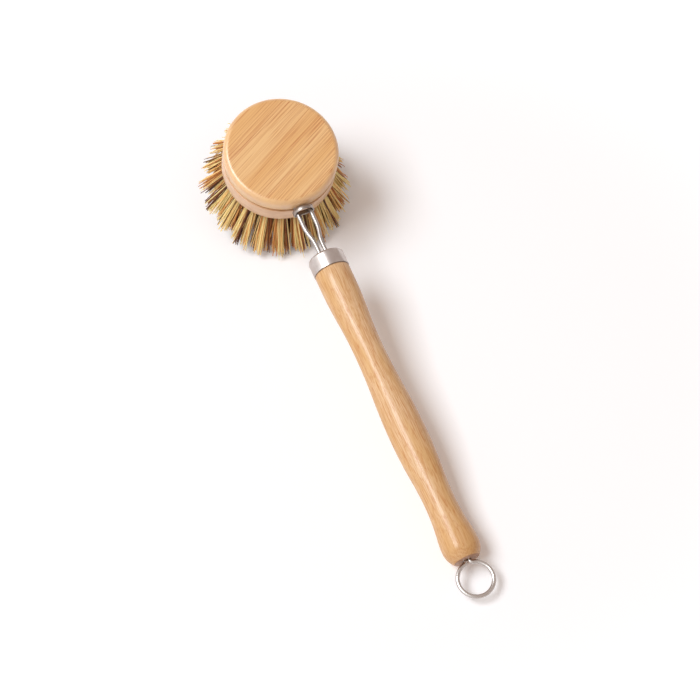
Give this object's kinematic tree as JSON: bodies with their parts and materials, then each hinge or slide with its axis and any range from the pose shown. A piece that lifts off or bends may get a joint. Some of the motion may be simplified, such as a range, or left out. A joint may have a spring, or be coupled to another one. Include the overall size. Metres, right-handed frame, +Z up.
{
  "type": "dish brush",
  "caption": "Wooden dish brush with a turned handle, a round head of plant fibre tufts held in a spring wire ring, a sliding lock clip and a wire hanging loop.",
  "frame": {"origin": "on the surface that the brush lies on, under the middle of its box", "axes": "+X along the brush from the head to the hanging loop, +Z up from the surface, +Y across the brush"},
  "size_m": [0.2526, 0.0696, 0.055],
  "materials": {
    "bamboo": "satin lacquer",
    "steel": "bright",
    "fibre": "dry plant fibre"
  },
  "bodies": {
    "handle": {"handle": "bamboo", "ferrule": "steel", "spring_wire": "steel"},
    "lock": {"lock_clip": "steel"},
    "head": {"head_block": "bamboo", "tuft_staples": "steel", "tuft_outer_01": "fibre", "tuft_outer_02": "fibre", "tuft_outer_03": "fibre", "tuft_outer_04": "fibre", "tuft_outer_05": "fibre", "tuft_outer_06": "fibre", "tuft_outer_07": "fibre", "tuft_outer_08": "fibre", "tuft_outer_09": "fibre", "tuft_outer_10": "fibre", "tuft_outer_11": "fibre", "tuft_outer_12": "fibre", "tuft_outer_13": "fibre", "tuft_outer_14": "fibre", "tuft_outer_15": "fibre", "tuft_outer_16": "fibre", "tuft_outer_17": "fibre", "tuft_outer_18": "fibre", "tuft_outer_19": "fibre", "tuft_outer_20": "fibre", "tuft_middle_01": "fibre", "tuft_middle_02": "fibre", "tuft_middle_03": "fibre", "tuft_middle_04": "fibre", "tuft_middle_05": "fibre", "tuft_middle_06": "fibre", "tuft_middle_07": "fibre", "tuft_middle_08": "fibre", "tuft_middle_09": "fibre", "tuft_middle_10": "fibre", "tuft_middle_11": "fibre", "tuft_middle_12": "fibre", "tuft_middle_13": "fibre", "tuft_inner_01": "fibre", "tuft_inner_02": "fibre", "tuft_inner_03": "fibre", "tuft_inner_04": "fibre", "tuft_inner_05": "fibre", "tuft_inner_06": "fibre", "tuft_centre": "fibre"},
    "loop": {"hanging_loop": "steel"}
  },
  "joints": [
    {"name": "clip_slide", "type": "slide", "parent": "handle", "child": "lock", "axis": [0.9873, 0, -0.1587], "range_m": [0, 0.0225]},
    {"name": "head_swivel", "type": "hinge", "parent": "handle", "child": "head", "pos_m": [-0.08374, 0, 0.04108], "axis": [0.2778, 0, 0.9606], "continuous": true},
    {"name": "loop_swivel", "type": "hinge", "parent": "handle", "child": "loop", "pos_m": [0.10984, 0, 0.00694], "axis": [0.9873, 0, -0.1587], "continuous": true}
  ]
}
